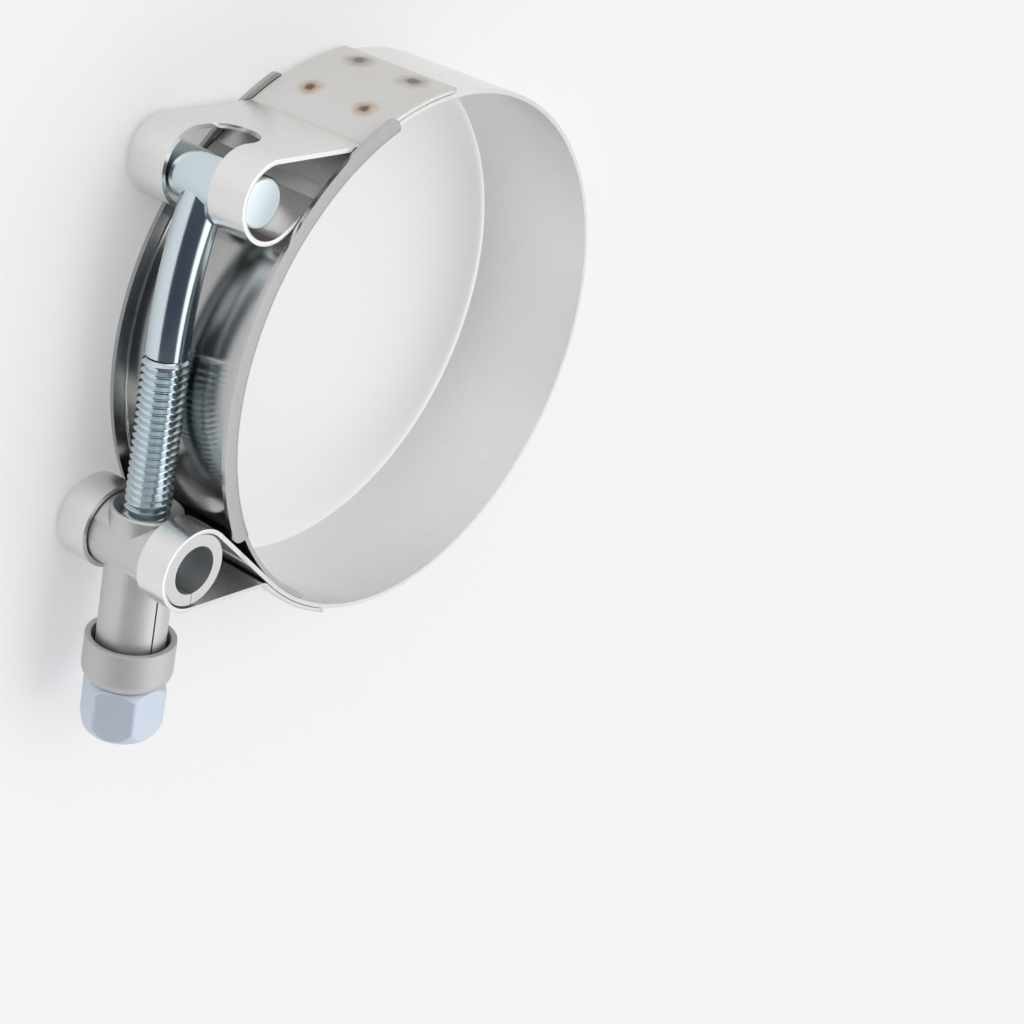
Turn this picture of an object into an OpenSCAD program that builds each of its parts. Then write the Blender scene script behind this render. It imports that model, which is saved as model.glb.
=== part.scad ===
// T-bolt band clamp, drawn open and at rest.
// A sheet steel band is folded into a loop at each end. One loop holds the cross head of a
// bent bolt, the other holds a swivelling trunnion that the bolt is drawn through by a
// locking nut. A channel-shaped bridge closes the gap under the bolt.
// The clamp's axis is Z, its origin is the middle of the bore, and the bolt lies at -Y.

/* [Band] */
// Inside diameter of the open band
ring_d = 74; // [60:0.5:110]
// Width of the strip
band_w = 19; // [17:0.5:26]
// Thickness of the strip
band_t = 0.6; // [0.4:0.05:0.9]
// Space between the band and a strap that is folded back on it
fold_gap = 0.1; // [0.08:0.01:0.2]
// Bend radius where a strap lifts off the band
crease_r = 3.5; // [2.5:0.1:5]
// Inside diameter of the loop that holds the bolt's head
head_loop_d = 9.6; // [8:0.1:11]
// Angle from where the band leaves its circle to the crease of the head's strap
head_crease = 2.7; // [-2.5:0.1:4]
// Angle from where the band leaves its circle to the crease of the trunnion's strap
tube_crease = -0.5; // [-2.5:0.1:4]
// Length of the strap at the bolt head's end, along the band
head_strap_l = 17.4; // [15:0.1:26]
// Length of the strap at the trunnion's end, along the band
tube_strap_l = 15.4; // [8:0.1:26]

/* [Spot welds] */
// Diameter of a weld mark
weld_d = 2.6; // [1.5:0.1:4]
// Depth of a weld mark
weld_depth = 0.12; // [0.05:0.01:0.25]
// Distance between the two marks of a row
weld_spread = 9.2; // [6:0.1:12]
// Distance from the end of a sheet to its nearest row
weld_edge = 2.8; // [2:0.1:5]
// Distance between the two rows at the bolt head's end
weld_rows = 9.4; // [5:0.1:10]

/* [Pivots] */
// Distance from the bolt head's pivot to the trunnion's pivot
pivot_gap = 48.1; // [40:0.1:60]
// Height of both pivots above the outside of the band
pivot_rise = 7.95; // [7:0.05:12]

/* [T-bolt] */
// Diameter over the thread, which is drawn plain
thread_d = 6; // [5:0.1:7]
// Depth of the thread's end inside the nut's end
end_recess = 0.7; // [0.2:0.1:2]
// Diameter of the smooth bent shank
shank_d = 5.5; // [4.5:0.1:6]
// Length of the bent shank, measured along the thread's axis
shank_run = 21.5; // [14:0.5:26]
// Angle between the thread and the line through both pivots
bolt_bow = 4.2; // [3:0.1:7]
// Diameter of the cross head
head_d = 6.6; // [5.8:0.1:8]
// Distance from the cross head's ends to the edges of the band
head_inset = 0.7; // [0.2:0.1:2]
// Direction in which the head lies in its loop, as a turn from -Y towards the trunnion
head_seat = 15; // [0:1:60]
// Chamfer at the ends of the head and of the thread
rod_chamfer = 0.5; // [0.2:0.05:0.8]

/* [Trunnion] */
// Diameter of the cross tube
tube_d = 9.9; // [8.5:0.1:12]
// Bore of the cross tube
tube_bore = 6.7; // [4:0.1:7.5]
// Distance from the cross tube's ends to the edges of the band
tube_inset = 0.3; // [0.1:0.1:1]
// Diameter of the neck that the bolt runs through
neck_d = 9.2; // [8.6:0.1:10]
// Distance from the cross tube's axis to the end of the neck
neck_l = 19.2; // [16:0.1:26]
// Diameter of the funnel's mouth, on the bolt head's side of the cross tube
mouth_d = 8.6; // [7.5:0.1:9.2]
// Width of the butt seams
seam_w = 0.25; // [0.1:0.05:0.5]
// Place of the neck's seam, as a turn about the neck from -Y towards +Z
seam_turn = 80; // [60:1:120]

/* [Sleeve] */
// Outside diameter of the cup that caps the neck
sleeve_d = 12.1; // [11.4:0.1:14]
// Height of the cup
sleeve_h = 6.3; // [4:0.1:9]
// Thickness of the cup's floor
sleeve_floor = 1; // [0.6:0.1:2]
// Rounding of the cup's floor edge
sleeve_round = 1.8; // [1:0.1:2.4]

/* [Lock nut] */
// Width across the flats
nut_af = 10; // [9:0.1:13]
// Height of the hexagon
hex_h = 5.4; // [3.5:0.1:8]
// Height of the taper from the hexagon's corners to the collar
hex_taper = 1.5; // [0.8:0.1:2]
// Height of the round collar on the hexagon
collar_h = 2.6; // [1.5:0.1:4]
// Diameter of the collar
collar_d = 9.8; // [9:0.1:10]
// Rounding of the collar's end
collar_round = 1.1; // [0.4:0.1:1.2]
// Opening in the collar's end
collar_mouth = 7.4; // [7:0.1:7.8]
// Thickness of the collar's end
collar_lip = 0.4; // [0.2:0.05:0.6]
// Outside diameter of the insert
insert_d = 8.2; // [7.9:0.05:8.5]
// Height of the insert
insert_h = 2.2; // [1.2:0.1:3]

/* [Bridge] */
// Thickness of the bridge's sheet
bridge_t = 0.6; // [0.4:0.05:0.9]
// Height of the flanges, from the inside of the bridge
flange_h = 2.75; // [2.2:0.05:4]
// Inside bend radius of the flanges
flange_bend = 0.3; // [0.2:0.05:0.5]
// Rounding of the flanges' corners
flange_round = 1.5; // [0.5:0.1:1.8]
// Arc from the bolt's middle to the welded end
weld_reach = 39.7; // [36:0.1:50]
// Arc from the bolt's middle to the flanges' free end
flange_reach = 21.4; // [12:0.1:30]
// Distance from the flanges' bends to the tongue's edges
tongue_inset = 0.1; // [0.05:0.05:1]
// Arc from the bolt's middle to the end of the tongue
tongue_reach = 41.6; // [36:0.1:55]

/* [Clearances] */
// Between the cross head and its loop
head_play = 0.25; // [0.2:0.05:0.8]
// Between the cross tube and its loop
tube_play = 0.25; // [0.15:0.05:0.5]
// Between the shank and the sides of its slot
shank_play = 1.05; // [0.5:0.05:1.5]
// Between the neck and the sides of its slot
neck_play = 0.3; // [0.2:0.05:0.5]
// Between the thread and the bore of the neck
bore_play = 0.5; // [0.3:0.05:0.7]
// Between the thread and the nut and insert around it
thread_play = 0.2; // [0.2:0.01:0.3]
// Between the neck and the inside of the sleeve
sleeve_play = 0.6; // [0.2:0.05:0.8]
// Between the nut's face and the sleeve
nut_play = 0.05; // [0.02:0.01:0.2]
// Between the insert and its seat in the nut
insert_play = 0.02; // [0.01:0.01:0.05]
// Between the bridge and the inside of the band
bridge_play = 0.05; // [0.03:0.01:0.1]
// Between the flanges and the edges of the band
flange_play = 0.1; // [0.05:0.01:0.2]

/* [Slots] */
// Straight run of the bolt's slot along the strap, before its round end
head_slot_run = 1.2; // [0.5:0.1:5]
// Straight run of the neck's slot along the strap, before its round end
tube_slot_run = 4.1; // [3:0.1:6]
// Straight run of both slots on the bridge's side, before their round ends
inner_slot_run = 0.6; // [0.2:0.1:2]

/* [Hidden] */
$fn = 96;
// Overrun of a cutter past the face that it cuts
over = 1;
// Run of one strip into the next, so that they join
lap = 0.2;
// Step in thickness at such a joint, on each side
lap_step = 0.02;

// Radii about the clamp's axis
band_ri = ring_d / 2;
band_r = band_ri + band_t / 2;
strap_r = band_r + band_t + fold_gap;
strap_ro = strap_r + band_t / 2;
bridge_ro = band_ri - bridge_play;
bridge_ri = bridge_ro - bridge_t;
pivot_r = band_ri + band_t + pivot_rise;

// Pivots
pivot_half = asin(pivot_gap / 2 / pivot_r);
pivot_y = -pivot_r * cos(pivot_half);
head_loop_r = head_loop_d / 2 + band_t / 2;
tube_loop_r = tube_d / 2 + tube_play + band_t / 2;
// the head rests at the side of its loop, so the loop's middle lies off the pivot
head_rest = head_loop_d / 2 - head_d / 2 - head_play;
head_loop_at = [pivot_gap / 2, pivot_y] + head_rest * [sin(head_seat), cos(head_seat)];
tube_loop_at = [pivot_gap / 2, pivot_y];
strip_w = band_w + 2 * over;
head_l = band_w - 2 * head_inset;
tube_l = band_w - 2 * tube_inset;
head_slot_w = shank_d + 2 * shank_play;
tube_slot_w = neck_d + 2 * neck_play;

// Bolt, in the trunnion's frame with the thread along X
head_x = -pivot_gap * cos(bolt_bow);
head_y = pivot_gap * sin(bolt_bow);
thread_from = head_x + shank_run;
shank_turn = 2 * atan(head_y / shank_run);
shank_r = shank_run / sin(shank_turn);
neck_bore = thread_d + 2 * bore_play;
// narrowing of the mouth's diameter along the thread
funnel = (mouth_d - neck_bore) / tube_d;
nut_bore = thread_d + 2 * thread_play;
nut_from = neck_l + sleeve_floor + nut_play;
thread_to = nut_from + hex_h + collar_h - end_recess;
thread_l = thread_to - thread_from;

// Bridge
flange_in = band_w / 2 + flange_play;
channel_w = 2 * (flange_in + bridge_t);
bend_ro = flange_bend + bridge_t;
tongue_w = channel_w - 2 * bend_ro - 2 * tongue_inset;

function polar(r, a) = [r * cos(a), r * sin(a)];
function arc_angle(length, r) = length / r * 180 / PI;
// Direction of a point on the ring that lies at an angle from the bolt's middle
function from_middle(a) = a - 90;
// Angle at which the band leaves its circle for a loop that lies on the +X side
function leave_angle(at, loop_r) = atan2(at.x, -at.y) + acos((band_r + loop_r) / norm(at));

// The band's strips are drawn over-wide, and trimmed together to its width.
// A strip bent about a point, between two directions
module strip_bend(at, r, from, to, t = band_t) {
    translate([at.x, at.y, 0])
        rotate([0, 0, from])
            rotate_extrude(angle = to - from)
                translate([r - t / 2, -strip_w / 2])
                    square([t, strip_w]);
}

// A straight strip from a point, running into the bends at both its ends
module strip_flat(at, direction, length) {
    t = band_t - 2 * lap_step;
    translate([at.x, at.y, 0])
        rotate([0, 0, direction])
            translate([-lap, -t / 2, -strip_w / 2])
                cube([length + 2 * lap, t, strip_w]);
}

// Cutter for a slot along a straight strip, with a round end
module strip_slot(at, direction, run, width) {
    depth = 2 * (band_t + over);
    translate([at.x, at.y, 0])
        rotate([0, 0, direction]) {
            translate([0, -depth / 2, -width / 2])
                cube([run, depth, width]);
            translate([run, 0, 0])
                rotate([90, 0, 0])
                    cylinder(d = width, h = depth, center = true);
        }
}

// Shallow round weld marks in the outside of a strap, at one angle about the axis
module strap_welds(angle) {
    for (side = [-1, 1])
        rotate([0, 0, angle])
            translate([strap_ro - weld_depth, 0, side * weld_spread / 2])
                rotate([0, 90, 0])
                    cylinder(d = weld_d, h = over);
}

// One looped end of the band, drawn on the +X side
module looped_end(at, loop_r, past, strap_l, slot_w, slot_run, rows) {
    leave = from_middle(leave_angle(at, loop_r));
    crease = leave + past;
    crease_at = polar(strap_r + crease_r, crease);
    span = crease_at - at;
    lean = asin((loop_r + crease_r) / norm(span));
    strap_dir = atan2(span.y, span.x) + lean;
    leg_l = norm(span) * cos(lean);
    strap_end = crease + arc_angle(strap_l, strap_r);
    lap_turn = arc_angle(lap, crease_r);
    inner_dir = leave - 90;
    inner_l = norm(at) * sin(acos((band_r + loop_r) / norm(at)));
    inner_at = at - polar(loop_r, leave);
    outer_at = at + polar(loop_r, strap_dir - 90);
    difference() {
        union() {
            strip_flat(polar(band_r, leave), inner_dir, inner_l);
            strip_bend(at, loop_r, leave + 180, strap_dir + 270);
            strip_flat(outer_at, strap_dir, leg_l);
            strip_bend(crease_at, crease_r, crease + 180 - lap_turn, strap_dir + 90 + lap_turn,
                band_t - 4 * lap_step);
            strip_bend([0, 0], strap_r, crease, strap_end);
        }
        // the loop is cut a hair wider than the slots in its two legs
        translate([at.x, at.y, 0])
            cylinder(r = loop_r + band_t, h = slot_w + 2 * lap_step, center = true);
        strip_slot(outer_at, strap_dir, slot_run, slot_w);
        strip_slot(inner_at, inner_dir + 180, inner_slot_run, slot_w);
        for (row = [0 : rows - 1])
            strap_welds(strap_end - arc_angle(weld_edge + row * weld_rows, strap_r));
    }
}

module band() {
    ring_from = from_middle(leave_angle(tube_loop_at, tube_loop_r));
    ring_to = from_middle(360 - leave_angle(head_loop_at, head_loop_r));
    color([0.80, 0.80, 0.79])
        intersection() {
            union() {
                strip_bend([0, 0], band_r, ring_from, ring_to);
                looped_end(tube_loop_at, tube_loop_r, tube_crease, tube_strap_l, tube_slot_w,
                    tube_slot_run, 1);
                mirror([1, 0, 0])
                    looped_end(head_loop_at, head_loop_r, head_crease, head_strap_l, head_slot_w,
                        head_slot_run, 2);
            }
            cube([2 * ring_d, 2 * ring_d, band_w], center = true);
        }
}

// Block with its two corners on the Y axis rounded
module round_backed(width, height, r) {
    translate([r, -width / 2])
        square([height - r, width]);
    translate([0, -width / 2 + r])
        square([height, width - 2 * r]);
    for (side = [-1, 1])
        translate([r, side * (width / 2 - r)])
            circle(r = r);
}

// Section of the bridge where it has flanges
module channel_section() {
    difference() {
        round_backed(channel_w, flange_h, bend_ro);
        translate([bridge_t, 0])
            round_backed(2 * flange_in, flange_h, flange_bend);
    }
}

// Cutter that rounds the outer corner of both flanges at one end
module flange_corner(angle) {
    rotate([0, 0, angle])
        translate([bridge_ri + flange_h - flange_round, 0, 0])
            linear_extrude(height = channel_w + over, center = true)
                difference() {
                    translate([0, -over])
                        square([flange_round + over, flange_round + over]);
                    translate([0, flange_round])
                        circle(r = flange_round);
                }
}

module bridge() {
    weld_end = from_middle(-arc_angle(weld_reach, bridge_ri));
    flange_end = from_middle(arc_angle(flange_reach, bridge_ri));
    tongue_end = from_middle(arc_angle(tongue_reach, bridge_ri));
    weld_at = weld_end + arc_angle(weld_edge, bridge_ri);
    color([0.72, 0.72, 0.71])
        difference() {
            rotate([0, 0, weld_end])
                rotate_extrude(angle = tongue_end - weld_end)
                    translate([bridge_ri, 0])
                        channel_section();
            // the tongue has no flanges
            for (side = [0, 1])
                mirror([0, 0, side])
                    rotate([0, 0, flange_end])
                        rotate_extrude(angle = tongue_end - flange_end + over)
                            translate([bridge_ri - over, tongue_w / 2])
                                square([flange_h + 2 * over, channel_w - tongue_w]);
            flange_corner(weld_end);
            mirror([0, 1, 0])
                flange_corner(-flange_end);
            for (side = [-1, 1])
                rotate([0, 0, weld_at])
                    translate([bridge_ri - over, 0, side * weld_spread / 2])
                        rotate([0, 90, 0])
                            cylinder(d = weld_d, h = over + weld_depth);
        }
}

// Places its children at the trunnion's pivot, with X along the thread
module at_trunnion() {
    translate([pivot_gap / 2, pivot_y, 0])
        rotate([0, 0, bolt_bow])
            children();
}

// Turns a shape that stands on Z so that it points along the thread from x
module along_thread(x) {
    translate([x, 0, 0])
        rotate([0, 90, 0])
            children();
}

// A rod standing on Z, with a chamfer at its top and, if asked, at its foot
module rod(d, length, foot_chamfer) {
    tip = d - 2 * rod_chamfer;
    straight = length - rod_chamfer - foot_chamfer;
    if (foot_chamfer > 0)
        cylinder(d1 = tip, d2 = d, h = foot_chamfer);
    translate([0, 0, foot_chamfer])
        cylinder(d = d, h = straight);
    translate([0, 0, foot_chamfer + straight])
        cylinder(d1 = d, d2 = tip, h = rod_chamfer);
}

// A disc standing on Z, with its top edge rounded
module round_ended(d, length, r) {
    rotate_extrude() {
        square([d / 2, length - r]);
        square([d / 2 - r, length]);
        translate([d / 2 - r, length - r])
            intersection() {
                circle(r = r);
                square(r);
            }
    }
}

module t_bolt() {
    color([0.66, 0.74, 0.76])
        at_trunnion() {
            along_thread(thread_from)
                rod(thread_d, thread_l, 0);
            // the shank runs a little way into the thread
            translate([thread_from, shank_r, 0])
                rotate([0, 0, -90 - shank_turn])
                    rotate_extrude(angle = shank_turn + arc_angle(over, shank_r))
                        translate([shank_r, 0])
                            circle(d = shank_d);
            translate([head_x, head_y, -head_l / 2])
                rod(head_d, head_l, rod_chamfer);
        }
}

module trunnion() {
    color([0.74, 0.74, 0.72])
        at_trunnion()
            difference() {
                union() {
                    cylinder(d = tube_d, h = tube_l, center = true);
                    along_thread(0)
                        cylinder(d = neck_d, h = neck_l);
                }
                cylinder(d = tube_bore, h = tube_l + over, center = true);
                along_thread(-over)
                    cylinder(d = neck_bore, h = neck_l + 2 * over);
                // the mouth is a funnel that narrows to the neck's bore
                along_thread(-tube_d / 2 - over)
                    cylinder(d1 = mouth_d + funnel * over, d2 = neck_bore, h = tube_d + over);
                // butt seams of the tube's two ends and of the neck
                for (side = [-1, 1])
                    translate([0, -seam_w / 2, side * (neck_d + tube_l) / 4 - (tube_l - neck_d) / 2])
                        cube([tube_d, seam_w, tube_l - neck_d]);
                translate([tube_d / 2, 0, 0])
                    rotate([-seam_turn, 0, 0])
                        translate([0, -neck_d, -seam_w / 2])
                            cube([neck_l, neck_d, seam_w]);
            }
}

module sleeve() {
    inside = neck_d + 2 * sleeve_play;
    color([0.62, 0.62, 0.61])
        at_trunnion()
            along_thread(neck_l + sleeve_floor - sleeve_h)
                difference() {
                    round_ended(sleeve_d, sleeve_h, sleeve_round);
                    translate([0, 0, -over])
                        cylinder(d = inside, h = over + sleeve_h - sleeve_floor);
                    cylinder(d = neck_bore, h = sleeve_h + over);
                }
}

module lock_nut() {
    corner_r = nut_af / 2 / cos(30);
    taper = hex_taper / (corner_r - collar_d / 2);
    // the turned blank runs past the hexagon's corners, and into the collar at its top
    blank_r = corner_r + lap;
    face_r = nut_af / 2 - lap;
    neck_r = collar_d / 2 - lap;
    nut_h = hex_h + collar_h;
    seat_h = insert_h + insert_play;
    seat_to = nut_h - collar_lip;
    color([0.70, 0.76, 0.82])
        at_trunnion()
            along_thread(nut_from)
                difference() {
                    union() {
                        intersection() {
                            cylinder(r = corner_r, h = hex_h, $fn = 6);
                            rotate_extrude()
                                polygon([
                                    [0, 0],
                                    [face_r, 0],
                                    [blank_r, blank_r - face_r],
                                    [blank_r, hex_h - taper * (blank_r - neck_r)],
                                    [neck_r, hex_h],
                                    [0, hex_h]
                                ]);
                        }
                        translate([0, 0, hex_h - over])
                            round_ended(collar_d, collar_h + over, collar_round);
                    }
                    translate([0, 0, -over])
                        cylinder(d = nut_bore, h = nut_h + 2 * over);
                    translate([0, 0, seat_to - seat_h])
                        cylinder(d = insert_d + 2 * insert_play, h = seat_h);
                    translate([0, 0, seat_to - over / 2])
                        cylinder(d = collar_mouth, h = collar_lip + over);
                }
}

module nut_insert() {
    color([0.10, 0.11, 0.14])
        at_trunnion()
            along_thread(nut_from + hex_h + collar_h - collar_lip - insert_play - insert_h)
                difference() {
                    cylinder(d = insert_d, h = insert_h);
                    translate([0, 0, -over])
                        cylinder(d = nut_bore, h = insert_h + 2 * over);
                }
}

band();
bridge();
t_bolt();
trunnion();
sleeve();
lock_nut();
nut_insert();
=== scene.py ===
# %% [markdown]
# # An open T-bolt band clamp
# A T-bolt clamp squeezes a hose onto a pipe. A springy steel band is folded into a loop at each
# end. A bolt with a cross head sits in one loop, a swivelling tube called the trunnion sits in
# the other, and a lock nut draws the two together. A curved bridge closes the gap under the bolt.
# The construction model gives every size; here each piece is modelled again with fine curves,
# rounded edges and a real thread, and gets its finish.

import math

import bmesh
import bpy
from mathutils import Matrix, Vector


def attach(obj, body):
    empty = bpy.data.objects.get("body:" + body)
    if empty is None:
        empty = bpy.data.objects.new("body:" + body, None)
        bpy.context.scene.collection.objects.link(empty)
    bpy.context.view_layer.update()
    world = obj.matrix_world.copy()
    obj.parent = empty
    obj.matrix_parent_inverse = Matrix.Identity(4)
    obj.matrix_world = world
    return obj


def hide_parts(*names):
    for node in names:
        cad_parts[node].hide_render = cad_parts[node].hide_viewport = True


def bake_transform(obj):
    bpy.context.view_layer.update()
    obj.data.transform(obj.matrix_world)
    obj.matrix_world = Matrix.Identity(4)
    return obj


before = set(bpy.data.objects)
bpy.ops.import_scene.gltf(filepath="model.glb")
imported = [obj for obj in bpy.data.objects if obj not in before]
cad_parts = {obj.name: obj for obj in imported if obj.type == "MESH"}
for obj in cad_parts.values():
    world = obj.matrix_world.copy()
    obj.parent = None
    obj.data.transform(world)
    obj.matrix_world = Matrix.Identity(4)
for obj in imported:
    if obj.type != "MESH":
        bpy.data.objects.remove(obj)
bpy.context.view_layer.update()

# %% [markdown]
# ## Sizes and small helpers
# Blender works in metres and a clamp is measured in millimetres, so every length is written in
# millimetres and multiplied by `MM`. An operator acts on whatever is selected, so each step
# starts by deselecting everything.

# %% Helpers for selecting and applying
MM = 0.001


def select_only(piece):
    if bpy.context.object and bpy.context.object.mode != "OBJECT":
        bpy.ops.object.mode_set(mode="OBJECT")
    bpy.ops.object.select_all(action="DESELECT")
    if piece:
        piece.select_set(True)
        bpy.context.view_layer.objects.active = piece


def edit(piece):
    select_only(piece)
    bpy.ops.object.mode_set(mode="EDIT")


def new_piece(name):
    piece = bpy.context.object
    piece.name = name
    piece.data.name = name
    bpy.ops.object.transform_apply(location=True, rotation=True, scale=True)
    return piece


def pick(kind, test):
    """In edit mode, selects the VERT, EDGE or FACE elements whose middle passes the test."""
    bpy.ops.mesh.select_mode(type=kind)
    bpy.ops.mesh.select_all(action="DESELECT")
    mesh = bmesh.from_edit_mesh(bpy.context.object.data)
    if kind == "VERT":
        found = [v for v in mesh.verts if test(v.co)]
    elif kind == "EDGE":
        found = [e for e in mesh.edges if test((e.verts[0].co + e.verts[1].co) / 2, e)]
    else:
        found = [f for f in mesh.faces if test(f.calc_center_median(), f)]
    for element in found:
        element.select_set(True)
    mesh.select_flush_mode()
    bmesh.update_edit_mesh(bpy.context.object.data)
    return len(found)


def apply_modifiers(piece):
    select_only(piece)
    for modifier in list(piece.modifiers):
        bpy.ops.object.modifier_apply(modifier=modifier.name)


def cut_with(piece, cutter, operation="DIFFERENCE"):
    modifier = piece.modifiers.new("cut", "BOOLEAN")
    modifier.operation = operation
    modifier.object = cutter
    modifier.solver = "EXACT"
    apply_modifiers(piece)
    bpy.data.objects.remove(cutter)


def smooth(piece, angle=35):
    select_only(piece)
    bpy.ops.object.shade_smooth_by_angle(angle=math.radians(angle))


def soften(piece, width, segments=2, angle=40):
    """Rounds the sharp edges a little and smooths what is curved."""
    modifier = piece.modifiers.new("edges", "BEVEL")
    modifier.width = width * MM
    modifier.segments = segments
    modifier.limit_method = "ANGLE"
    modifier.angle_limit = math.radians(angle)
    modifier.use_clamp_overlap = True
    apply_modifiers(piece)
    smooth(piece)
    even = piece.modifiers.new("even", "WEIGHTED_NORMAL")
    even.keep_sharp = True
    apply_modifiers(piece)


def close_up(piece):
    """Merges doubles and turns all faces outwards."""
    edit(piece)
    bpy.ops.mesh.select_all(action="SELECT")
    bpy.ops.mesh.remove_doubles(threshold=1e-7)
    bpy.ops.mesh.normals_make_consistent(inside=False)
    select_only(piece)


print("helpers for selecting and cutting are ready")

# %% [markdown]
# Many pieces start as a line: a sheet's section that is bent round, or half the section of a
# turned piece. A tiny plane is merged to one point, and that point is extruded from corner to
# corner. Spinning such a line a full turn does the work of a lathe.

# %% Helpers for drawing and turning


def drawn_line(name, points):
    """Starts a piece as a line through points in millimetres, and stays in edit mode."""
    select_only(None)
    bpy.ops.mesh.primitive_plane_add(size=0.1 * MM, location=points[0] * MM)
    piece = new_piece(name)
    edit(piece)
    bpy.ops.mesh.select_mode(type="VERT")
    bpy.ops.mesh.select_all(action="SELECT")
    bpy.ops.mesh.merge(type="CENTER")
    for before, after in zip(points, points[1:]):
        bpy.ops.mesh.extrude_region_move(TRANSFORM_OT_translate={"value": (after - before) * MM})
    bpy.ops.mesh.select_all(action="SELECT")
    return piece


def turned(name, section, steps=96):
    """Spins a closed half section of (radius, height) points a full turn about Z."""
    piece = drawn_line(name, [Vector((r, 0, h)) for r, h in section])
    bpy.ops.mesh.remove_doubles(threshold=1e-7)
    bpy.ops.mesh.select_all(action="SELECT")
    bpy.ops.mesh.spin(steps=steps, angle=2 * math.pi, center=(0, 0, 0), axis=(0, 0, 1))
    close_up(piece)
    return piece


def rounded(middle, radius, start, end, count=6):
    """Points of a rounded corner of a half section, between two directions in degrees."""
    points = []
    for i in range(count + 1):
        a = math.radians(start + (end - start) * i / count)
        points.append((middle[0] + radius * math.cos(a), middle[1] + radius * math.sin(a)))
    return points


print("helpers for drawing and turning are ready")

# %% [markdown]
# ## The camera
# The photograph looks down on the clamp from its bolt side and is turned so that the bolt runs
# from top to bottom. The place of the eye, the point in the middle of the picture and the
# direction that is up in it are real distances in the clamp's frame.

# %% Camera
EYE = Vector((-87.05, -222.23, 161.17)) * MM
AIM = Vector((17.91, 6.74, 25.18)) * MM
PICTURE_UP = Vector((-0.9014, 0.1791, -0.3942))
LENS_MM = 72.5

bpy.ops.object.camera_add(location=EYE)
camera = bpy.context.object
back = (EYE - AIM).normalized()
right = PICTURE_UP.cross(back).normalized()
up = back.cross(right)
camera.matrix_world = Matrix.Translation(EYE) @ Matrix((right, up, back)).transposed().to_4x4()
camera.data.sensor_fit = "HORIZONTAL"
camera.data.sensor_width = 36
camera.data.lens = LENS_MM
camera.data.clip_start = 0.01
bpy.context.scene.camera = camera
print("camera", round((EYE - AIM).length * 1000), "mm from its aim")

# %% [markdown]
# ## The band
# The real band is one strip of sheet. It could be drawn as a curve, but a sheet metal worker
# bends it piece by piece, and the spin and extrude operators do the same: an upright edge, as
# tall as the strip is wide, is swept round each bend and pushed along each straight run. The
# Solidify modifier then gives the ribbon its thickness.

# %% Band sizes
RING_R = 37.3
STRIP_T = 0.6
STRIP_W = 19.0
STRAP_R = 38.0
CREASE_R = 1.8
PIVOT_R = 45.55
PIVOT_X = 24.05
PIVOT_Y = -math.sqrt(PIVOT_R**2 - PIVOT_X**2)
HEAD_SEAT = math.radians(15)
HEAD_REST = 1.25
HEAD_LOOP_X = PIVOT_X + HEAD_REST * math.sin(HEAD_SEAT)
HEAD_LOOP_Y = PIVOT_Y + HEAD_REST * math.cos(HEAD_SEAT)
HEAD_LOOP_AT = Vector((HEAD_LOOP_X, HEAD_LOOP_Y, 0))
TUBE_LOOP_AT = Vector((PIVOT_X, PIVOT_Y, 0))
HEAD_LOOP_R = 5.1
TUBE_LOOP_R = 5.5
HEAD_CREASE = math.radians(2.7)
TUBE_CREASE = math.radians(-0.5)
HEAD_STRAP_L = 17.4
TUBE_STRAP_L = 15.4
BEND_STEP = math.radians(2.0)
LOOP_STEP = math.radians(5.0)


def toward(angle, length=1.0):
    return Vector((math.cos(angle), math.sin(angle), 0)) * length


def loop_shape(at, loop_r, past, strap_l):
    """Angles, points and lengths of a looped end on the +X side, in millimetres."""
    rise = math.acos((RING_R + loop_r) / at.length)
    leave = math.atan2(at.x, -at.y) + rise - math.pi / 2
    crease = leave + past
    crease_at = toward(crease, STRAP_R + CREASE_R)
    span = crease_at - at
    lean = math.asin((loop_r + CREASE_R) / span.length)
    strap_dir = math.atan2(span.y, span.x) + lean
    return {
        "at": at,
        "leave": leave,
        "crease": crease,
        "crease_at": crease_at,
        "strap_dir": strap_dir,
        "leg_l": span.length * math.cos(lean),
        "inner_l": at.length * math.sin(rise),
        "strap_turn": strap_l / STRAP_R,
        "crease_turn": strap_dir - crease - math.pi / 2,
        "loop_turn": strap_dir - leave + math.pi / 2,
        "inner_at": at - toward(leave, loop_r),
        "outer_at": at + toward(strap_dir - math.pi / 2, loop_r),
    }


tube_end = loop_shape(TUBE_LOOP_AT, TUBE_LOOP_R, TUBE_CREASE, TUBE_STRAP_L)
head_end = loop_shape(HEAD_LOOP_AT, HEAD_LOOP_R, HEAD_CREASE, HEAD_STRAP_L)
print("loops turn", [round(math.degrees(e["loop_turn"])) for e in (tube_end, head_end)], "degrees")

# %% Bend the ribbon


def ribbon_start(at, height):
    """An upright edge as tall as the strip is wide."""
    select_only(None)
    bpy.ops.mesh.primitive_plane_add(
        size=height * MM,
        rotation=(0, math.pi / 2, 0),
        location=(at + Vector((0, -height / 2, 0))) * MM,
    )
    piece = new_piece("band_sheet")
    edit(piece)
    pick("VERT", lambda co: co.y < (at.y - height / 2) * MM)
    bpy.ops.mesh.delete(type="VERT")
    bpy.ops.mesh.select_all(action="SELECT")
    return piece


def bend(center, turn, step):
    bpy.ops.mesh.spin(
        steps=max(3, round(abs(turn) / step)),
        angle=-turn,
        center=center * MM,
        axis=(0, 0, 1),
    )


def run(direction, length):
    bpy.ops.mesh.extrude_region_move(
        TRANSFORM_OT_translate={"value": toward(direction, length * MM)}
    )


def mirrored(point):
    return Vector((-point.x, point.y, point.z))


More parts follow.
